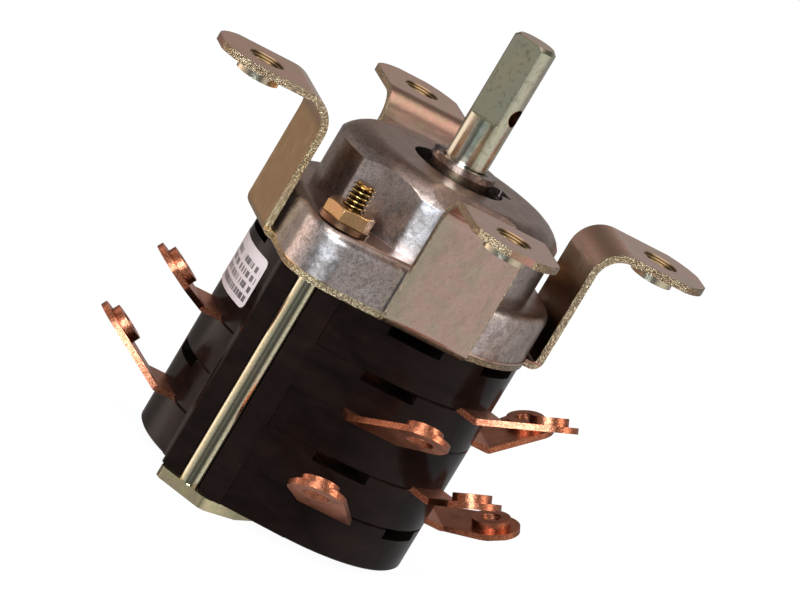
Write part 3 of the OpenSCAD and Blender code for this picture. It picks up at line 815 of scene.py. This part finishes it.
def rod(azimuth):
    """A tie rod: bevelled below, plain to its shoulder, threaded above."""
    a = math.radians(azimuth)
    place = Matrix.Translation(Vector((
        ROD_CIRCLE_R * math.cos(a), ROD_CIRCLE_R * math.sin(a), 0)))
    bevel_z = ROD_LOW + ROD_BEVEL
    rings = [(ROD_LOW, CENTRE_R), (ROD_LOW, ROD_R - ROD_BEVEL),
             (bevel_z, ROD_R), (bevel_z + RING_GAP, ROD_R),
             (SHOULDER_Z - RING_GAP, ROD_R), (SHOULDER_Z, ROD_R)]
    steps = int((ROD_TOP - SHOULDER_Z) / ROD_STEP)
    for k in range(1, steps + 1):
        z = SHOULDER_Z + (ROD_TOP - SHOULDER_Z) * k / steps
        fade = min(1, (ROD_TOP - z) / ROD_RUN_OUT)

        def radius(turn, z=z, fade=fade):
            top = ROD_R - ROD_END_TAPER * (1 - fade)
            share = ROD_END_DEPTH + (1 - ROD_END_DEPTH) * fade
            valley = 1 - wave(z, turn, ROD_PITCH)
            return top - ROD_DEPTH * share * valley
        rings.append((z, radius))
    rings.append((ROD_TOP, CENTRE_R))
    return turned(rings, place, ROD_SIDES)


def hole_thread(place, radius, span, pitch, depth):
    """Thread ridges on the wall of a hole whose frame is given."""
    low, high = span
    steps = int((high - low) / HOLE_STEP)
    rings = []
    for k in range(steps + 1):
        z = low + (high - low) * k / steps
        fade = min(1, (high - z) / HOLE_RUN_OUT, (z - low) / HOLE_RUN_OUT)

        def wall(turn, z=z, fade=fade):
            return radius - WALL_GAP - depth * fade * wave(z, turn, pitch)
        rings.append((z, wall))
    bm = turned(rings, place, HOLE_SIDES)
    bmesh.ops.reverse_faces(bm, faces=bm.faces)
    return bm


def terminal_hole(seam, azimuth, side):
    """The frame of a terminal's hole, in the sloping part of its tongue."""
    return (Matrix.Rotation(math.radians(azimuth), 4, "Z")
            @ Matrix.Translation(Vector((
                BEND_X, 0, SEAMS[seam] - TERMINAL_SINK + TERMINAL_BEND)))
            @ Matrix.Rotation(math.radians(-TERMINAL_SLOPE), 4, "Y")
            @ Matrix.Translation(Vector((
                TERMINAL_HOLE[0], side * TERMINAL_HOLE[1], 0))))


def tab_hole(azimuth):
    """The frame of the hole in one of the spider's tabs."""
    return (Matrix.Rotation(math.radians(azimuth), 4, "Z")
            @ Matrix.Translation(Vector((TAB_CIRCLE_R, 0, 0))))


def make_threads():
    """The threads that the solids leave out: rod ends and tapped holes."""
    new_piece("tie_rods.dressed", gathered("tie_rods.dressed", [
        rod(azimuth) for azimuth in ROD_ANGLES]), RODS, SLOTS["tie_rods"],
        "base", "tie_rods", sharp=THREAD_SHARP)
    new_piece("screw_threads", gathered("screw_threads", [
        hole_thread(terminal_hole(*terminal), TERMINAL_HOLE_R, TERMINAL_SPAN,
                    ROD_PITCH, TERMINAL_DEPTH)
        for terminal in TERMINALS.values()]), COPPER,
        SLOTS["terminal_front_upper"], "base", sharp=THREAD_SHARP)
    new_piece("tab_threads", gathered("tab_threads", [
        hole_thread(tab_hole(azimuth), TAB_HOLE_R, TAB_SPAN, TAB_PITCH,
                    TAB_DEPTH)
        for azimuth in TAB_ANGLES]), NUTS, SLOTS["mounting_spider"], "base",
        sharp=THREAD_SHARP)


def paint_plain_nodes():
    """Materials for the nodes that keep the solids' own meshes."""
    plain = {
        "retaining_ring": RING, "thrust_washer": RING,
        "lock_washers": WASHERS, "shaft_bushing": SHADED_BRONZE,
        "detent_wheel": INNER, "stop_disc": INNER,
        "detent_roller_a": INNER, "detent_roller_b": INNER,
        "detent_springs": INNER, "rating_label": LABEL,
    }
    for number in (2, 3, 4, 5):
        plain[f"contact_hub_{number}"] = RESIN
        plain[f"contact_blade_{number}"] = COPPER
    for node, material in plain.items():
        mesh = NODES[node].data
        if not mesh.materials:
            mesh.materials.append(material)
        for place in range(len(mesh.materials)):
            mesh.materials[place] = material


# Stage

def make_lamp(name, degrees, rise, away, size, power, color):
    """A lamp placed by its angle from the camera's side and its height."""
    data = bpy.data.lights.new(name, "AREA")
    data.shape = "RECTANGLE"
    data.size, data.size_y = size
    data.energy = power
    data.color = color
    lamp = bpy.data.objects.new(name, data)
    bpy.context.scene.collection.objects.link(lamp)
    a = math.radians(AZIMUTH - 90 + degrees)
    e = math.radians(rise)
    lamp.location = (away * math.cos(a) * math.cos(e),
                     away * math.sin(a) * math.cos(e), away * math.sin(e))
    way = LAMP_AIM - Vector(lamp.location)
    lamp.rotation_euler = way.to_track_quat("-Z", "Y").to_euler()


def room_level(nodes, x, y):
    """The studio's level in the direction that a vector points to."""
    turn = nodes.math("ARCTAN2", y, x)
    turn = nodes.math("SUBTRACT", turn, math.radians(AZIMUTH - 90))
    turn = nodes.math("WRAP", turn, math.pi, -math.pi)
    turn = nodes.math("MULTIPLY_ADD", turn, 0.5 / math.pi, 0.5)
    stops = []
    for degrees, level in ROOM:
        hue = LEFT_TINT if degrees < LEFT_END else (1, 1, 1)
        stops.append((degrees / 360 + 0.5,
                      [level / ROOM_PEAK * v for v in hue]))
    return nodes.ramp(turn, stops)


def make_floor(height):
    """White to the camera, with a faint shadow; metal sees the studio."""
    mesh = bpy.data.meshes.new("floor")
    half = FLOOR_HALF
    mesh.from_pydata([(-half, -half, height), (half, -half, height),
                      (half, half, height), (-half, half, height)], [],
                     [(0, 1, 2, 3)])
    floor = bpy.data.objects.new("floor", mesh)
    bpy.context.scene.collection.objects.link(floor)
    material = bpy.data.materials.new("floor")
    material.use_nodes = True
    nodes = Nodes(material.node_tree)
    nodes.tree.nodes.clear()
    grey = nodes.add("BsdfDiffuse")
    nodes.put(grey, "Color", (*[FLOOR_GREY] * 3, 1))
    white = nodes.add("Emission")
    nodes.put(white, "Strength", FLOOR_GLOW)
    rays = nodes.add("LightPath").outputs
    seen = nodes.shaders(
        nodes.math("MULTIPLY", rays["Is Camera Ray"], FLOOR_GLOW_SHARE),
        grey.outputs[0], white.outputs[0])
    seen = nodes.shaders(rays["Is Glossy Ray"], seen,
                         nodes.add("BsdfTransparent").outputs[0])
    nodes.put(nodes.add("OutputMaterial"), "Surface", seen)
    mesh.materials.append(material)


def make_world():
    """Plain white to the camera; a soft studio room to everything else."""
    world = bpy.data.worlds.new("studio")
    world.use_nodes = True
    nodes = Nodes(world.node_tree)
    nodes.tree.nodes.clear()
    coords = nodes.add("TexCoord")
    x, y, height = nodes.parts(coords.outputs["Generated"])
    level = room_level(nodes, x, y)
    for start, end, plain in (UPPER_WALL, OVERHEAD, BELOW):
        level = nodes.mix(nodes.between(height, start, end), level,
                          [plain / ROOM_PEAK] * 3)
    room = nodes.add("Background")
    nodes.put(room, "Color", level)
    nodes.put(room, "Strength", ROOM_PEAK)
    white = nodes.add("Background")
    nodes.put(white, "Color", (1, 1, 1, 1))
    nodes.put(white, "Strength", 1.0)
    seen = nodes.shaders(nodes.add("LightPath").outputs["Is Camera Ray"],
                         room.outputs[0], white.outputs[0])
    nodes.put(nodes.add("OutputWorld"), "Surface", seen)
    bpy.context.scene.world = world


# Put together

SPIDER = spider_steel("spider_plate")
RODS = stud_steel("rod_plate")
NUTS = plated_steel("nut_plate", (0.58, 0.34, 0.155), (0.58, 0.32, 0.16),
                    (0.54, 0.36, 0.17), rough=0.24, patch=0.1,
                    seed=(9, 4, 2), dark=0.8)
BAR = plated_steel("bar_plate", (0.60, 0.52, 0.31), (0.57, 0.47, 0.31),
                   (0.50, 0.51, 0.31), rough=0.24, patch=0.07,
                   seed=(3, 12, 5), dark=0.45)
CAST = cast_zinc("housing_zinc")
RESIN = phenolic("deck_resin")
WASHERS = plated_steel("washer_plate", (0.20, 0.10, 0.05),
                       (0.22, 0.10, 0.06), (0.18, 0.11, 0.05), rough=0.26,
                       patch=0.1, seed=(0, 0, 0), dark=0.62)
COPPER = copper("terminal_copper")
SHAFT = machined_steel("shaft_steel")
RING = dark_steel("ring_steel", (0.13, 0.09, 0.075), (0.40, 0.29, 0.24),
                  rough=0.26)
# Bronze for the bushing, darkened below its own tone as painted shade of the recess it
# sits in.
SHADED_BRONZE = dark_steel("bushing_bronze_shaded", (0.09, 0.055, 0.035),
                    (0.17, 0.11, 0.07))
INNER = dark_steel("inner_steel", (0.26, 0.24, 0.22), (0.42, 0.40, 0.37))
LABEL = sticker("label_paper")

bpy.context.scene.view_settings.view_transform = "Standard"
make_camera()
make_world()
make_floor(CAD_BOX[0].z)
for lamp_name, setting in LAMPS.items():
    make_lamp(lamp_name, *setting)

dress("shaft", SHAFT, "rotor", 0.2)
dress("index_housing", CAST, "base", 0.35, 3, 30)
dress("mounting_spider", SPIDER, "base", 0.22)
for deck in DECKS:
    dress(deck, RESIN, "base", 0.10)
dress("tie_nuts", NUTS, "base", 0.16)
dress("retaining_bar", BAR, "base", 0.18)
for terminal in TERMINALS:
    dress(terminal, COPPER, "base", 0.14)
make_threads()
paint_plain_nodes()
